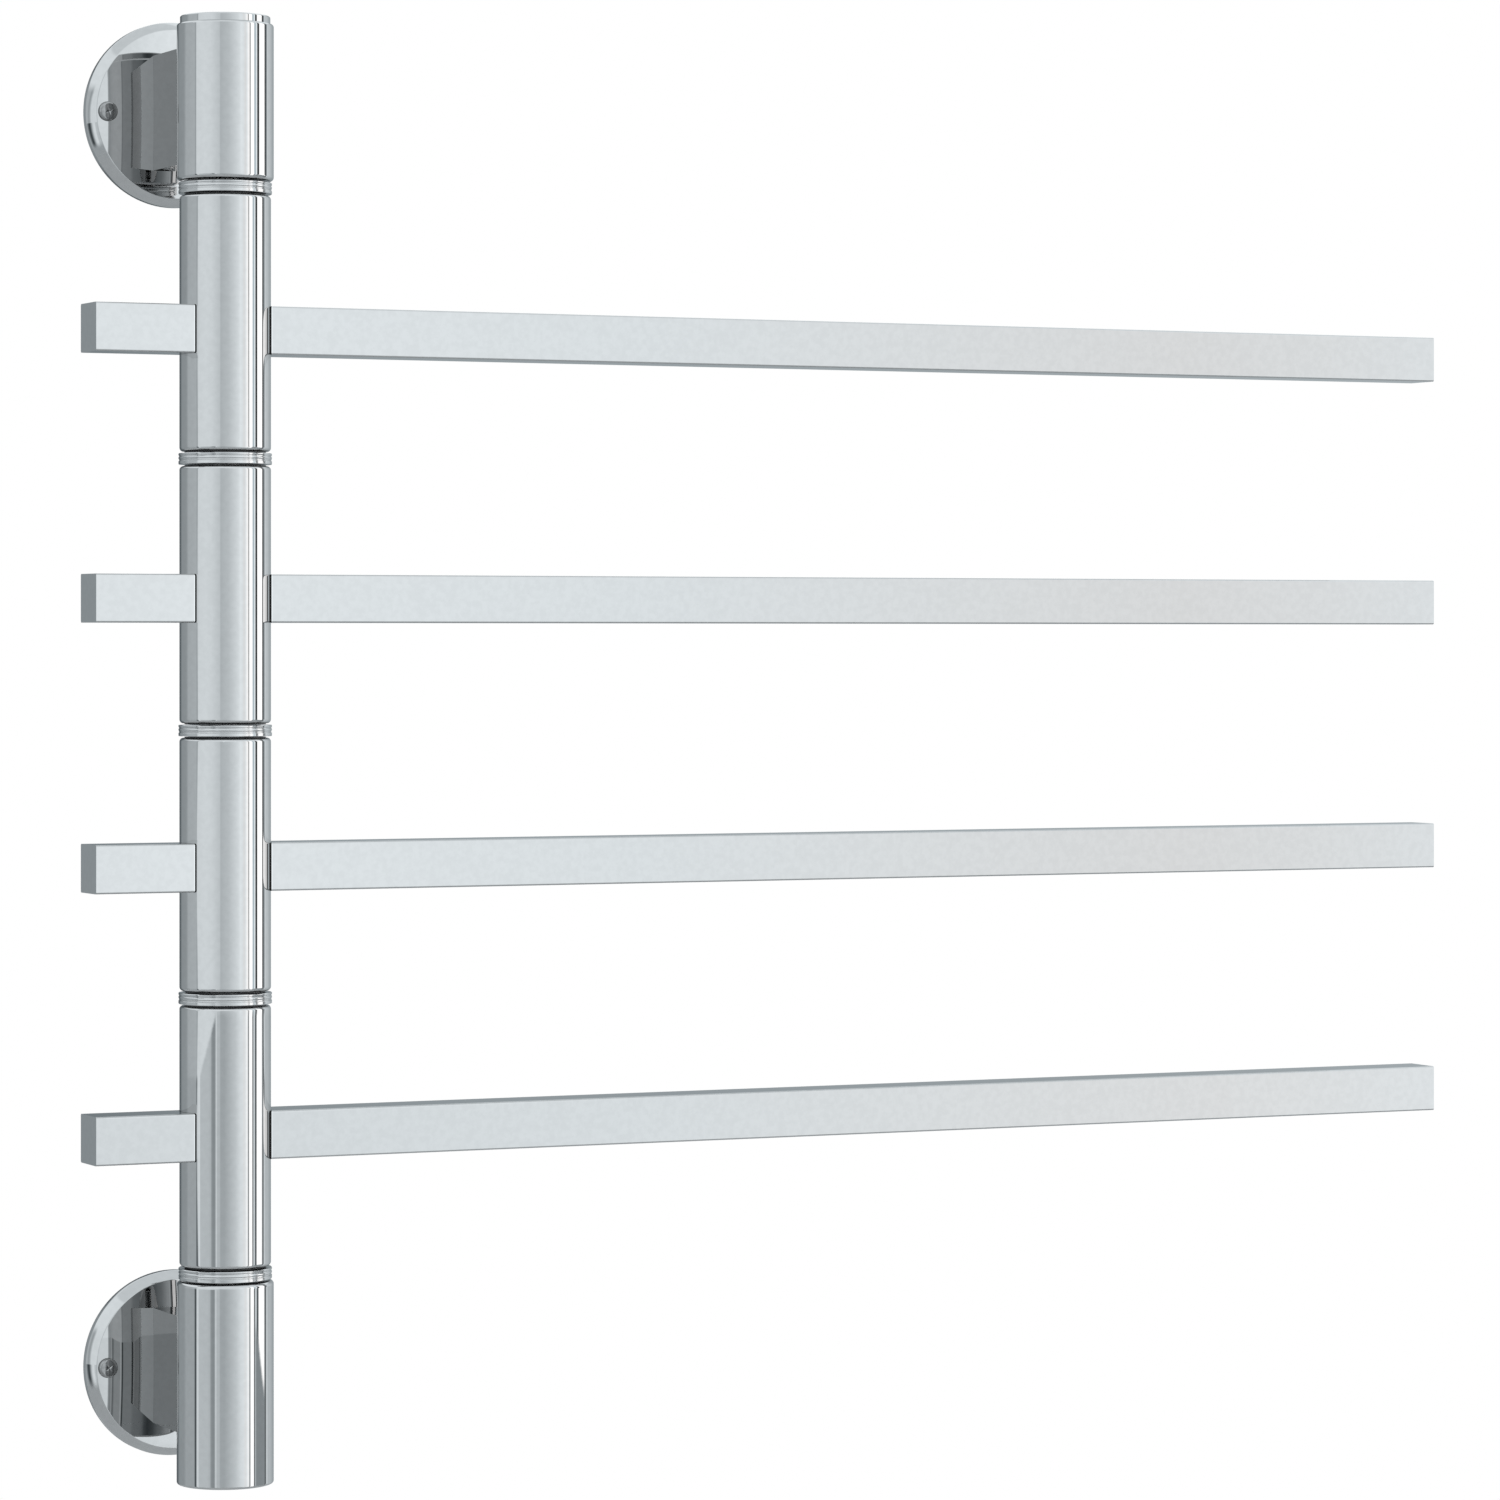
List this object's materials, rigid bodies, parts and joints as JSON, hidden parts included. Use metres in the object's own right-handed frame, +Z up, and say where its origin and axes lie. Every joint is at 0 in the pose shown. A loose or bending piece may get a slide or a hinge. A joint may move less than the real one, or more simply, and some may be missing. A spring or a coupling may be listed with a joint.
{
  "type": "swivel heated towel rail",
  "caption": "Wall-mounted electric towel rail: square heated bars that pass through the turning sleeves of one round column and swing out one by one.",
  "frame": {"origin": "middle of the lower wall plate's back face, on the wall", "axes": "+X along the bars towards their long ends, +Y into the wall, +Z up the column"},
  "size_m": [0.6384, 0.0875, 0.6103],
  "materials": {
    "polished_steel": "mirror-polished stainless steel",
    "satin_steel": "fine satin stainless steel",
    "satin_ring": "fine satin, turned",
    "screw_steel": "bright screw steel",
    "mast_steel": "drawn tube",
    "plated_steel": "zinc plated",
    "clip_steel": "spring steel",
    "rod_steel": "heat-tinted stainless sheath",
    "bearing_polymer": "black acetal",
    "grommet_rubber": "soft black rubber",
    "terminal_polymer": "moulded polyamide",
    "cable_sheath": "silicone sheath"
  },
  "bodies": {
    "frame": {"spacer_ring_1": "satin_ring", "spacer_ring_2": "satin_ring", "spacer_ring_3": "satin_ring", "spacer_ring_4": "satin_ring", "spacer_ring_5": "satin_ring", "mast": "mast_steel", "top_housing": "polished_steel", "top_hub": "plated_steel", "spring_washer": "plated_steel", "mast_nuts": "plated_steel", "top_cap": "polished_steel", "bottom_housing": "polished_steel", "bottom_hub": "plated_steel", "bottom_cap": "polished_steel", "upper_bracket_arm": "satin_steel", "upper_cover_plate": "polished_steel", "lower_bracket_arm": "satin_steel", "lower_cover_plate": "polished_steel", "upper_wall_plate": "plated_steel", "lower_wall_plate": "plated_steel", "cover_screws": "screw_steel", "cable_grommet": "grommet_rubber", "earth_screw": "plated_steel", "terminal_block": "terminal_polymer", "wiring_harness": "cable_sheath"},
    "swing_arm_1": {"swivel_sleeve_1": "polished_steel", "heated_bar_1": "polished_steel", "stub_end_cap_1": "polished_steel", "arm_end_cap_1": "polished_steel", "upper_bush_1": "bearing_polymer", "lower_bush_1": "bearing_polymer", "heating_rod_1": "rod_steel", "rod_clips_1": "clip_steel"},
    "swing_arm_2": {"swivel_sleeve_2": "polished_steel", "heated_bar_2": "polished_steel", "stub_end_cap_2": "polished_steel", "arm_end_cap_2": "polished_steel", "upper_bush_2": "bearing_polymer", "lower_bush_2": "bearing_polymer", "heating_rod_2": "rod_steel", "rod_clips_2": "clip_steel"},
    "swing_arm_3": {"swivel_sleeve_3": "polished_steel", "heated_bar_3": "polished_steel", "stub_end_cap_3": "polished_steel", "arm_end_cap_3": "polished_steel", "upper_bush_3": "bearing_polymer", "lower_bush_3": "bearing_polymer", "heating_rod_3": "rod_steel", "rod_clips_3": "clip_steel"},
    "swing_arm_4": {"swivel_sleeve_4": "polished_steel", "heated_bar_4": "polished_steel", "stub_end_cap_4": "polished_steel", "arm_end_cap_4": "polished_steel", "upper_bush_4": "bearing_polymer", "lower_bush_4": "bearing_polymer", "heating_rod_4": "rod_steel", "rod_clips_4": "clip_steel"}
  },
  "joints": [
    {"name": "swing_1", "type": "hinge", "parent": "frame", "child": "swing_arm_1", "pos_m": [0, -0.0675, 0.4343], "axis": [0, 0, -1], "range_deg": [0, 180]},
    {"name": "swing_2", "type": "hinge", "parent": "frame", "child": "swing_arm_2", "pos_m": [0, -0.0675, 0.3235], "axis": [0, 0, -1], "range_deg": [0, 180]},
    {"name": "swing_3", "type": "hinge", "parent": "frame", "child": "swing_arm_3", "pos_m": [0, -0.0675, 0.2127], "axis": [0, 0, -1], "range_deg": [0, 180]},
    {"name": "swing_4", "type": "hinge", "parent": "frame", "child": "swing_arm_4", "pos_m": [0, -0.0675, 0.1019], "axis": [0, 0, -1], "range_deg": [0, 180]}
  ]
}
